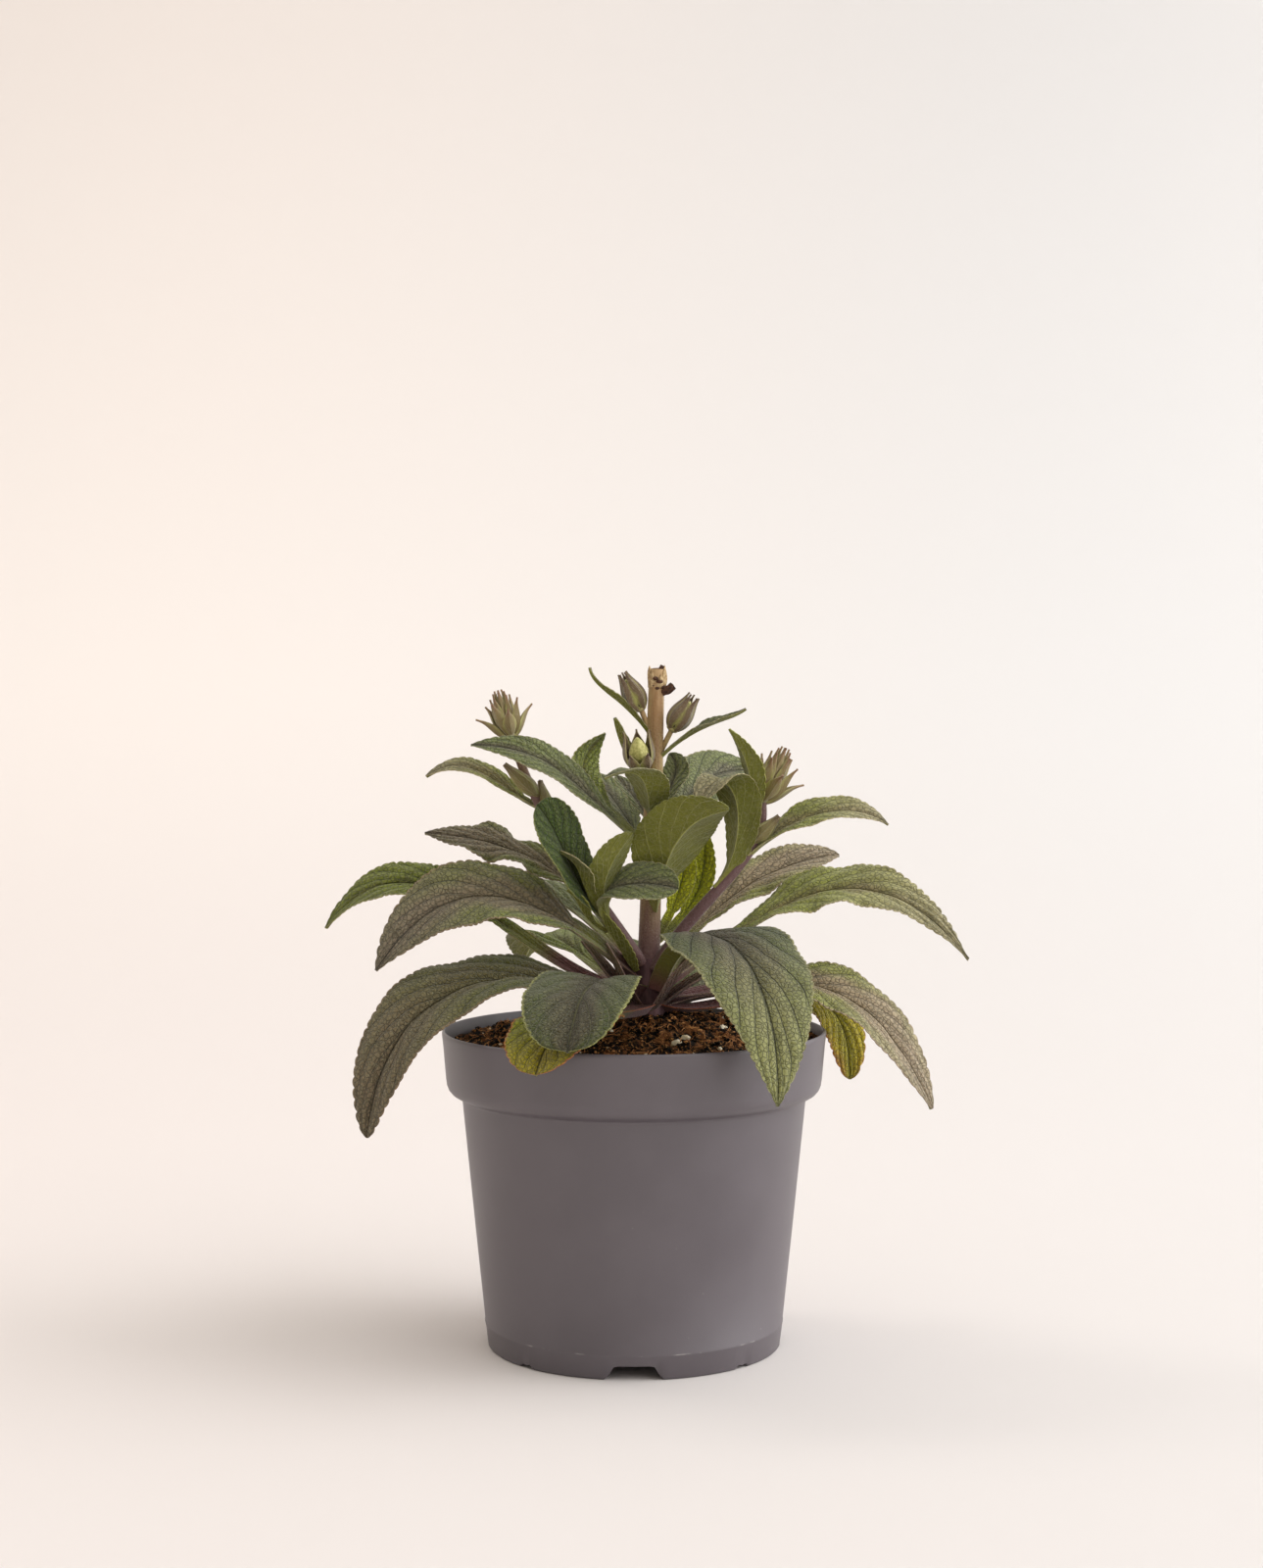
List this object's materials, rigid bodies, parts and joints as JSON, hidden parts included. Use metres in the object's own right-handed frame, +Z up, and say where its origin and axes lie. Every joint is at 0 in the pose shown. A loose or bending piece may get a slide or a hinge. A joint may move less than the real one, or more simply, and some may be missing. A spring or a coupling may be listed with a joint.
{
  "type": "potted foxglove plant",
  "caption": "Potted dalmatian white foxglove before flowering: a rosette of crenate leaves, leafy shoots and closed buds in a round grey nursery pot.",
  "frame": {"origin": "middle of the pot's foot, on the surface that the pot stands on", "axes": "+Z up along the pot's axis and the main stem, -Y towards the viewer of the picture, +X to the right"},
  "size_m": [0.2877, 0.1948, 0.3004],
  "materials": {
    "pot_plastic": "matte",
    "potting_soil": "matte",
    "stem_and_stem_leaves": "matte",
    "flower_head": "matte",
    "corolla": "satin",
    "leaf_green": "matte",
    "leaf_grey_green": "matte",
    "leaf_purple_grey": "matte",
    "leaf_yellowing": "matte"
  },
  "bodies": {
    "root": {"pot": "pot_plastic", "soil": "potting_soil", "main_stem": "stem_and_stem_leaves", "left_shoot": "stem_and_stem_leaves", "right_shoot": "stem_and_stem_leaves", "left_head": "flower_head", "right_head": "flower_head", "corolla_left": "corolla", "corolla_right": "corolla", "corolla_front": "corolla", "leaf_far_left": "leaf_green", "leaf_big_left": "leaf_purple_grey", "leaf_lower_left": "leaf_purple_grey", "leaf_front_spoon": "leaf_grey_green", "leaf_front_low": "leaf_yellowing", "leaf_front_right": "leaf_grey_green", "leaf_lower_right": "leaf_purple_grey", "leaf_yellow_right": "leaf_yellowing", "leaf_big_right": "leaf_grey_green", "leaf_grey_right": "leaf_purple_grey", "leaf_curly_left": "leaf_purple_grey", "leaf_back_left_low": "leaf_green", "leaf_back_left": "leaf_grey_green", "leaf_back": "leaf_grey_green", "leaf_back_right": "leaf_grey_green"}
  },
  "joints": []
}
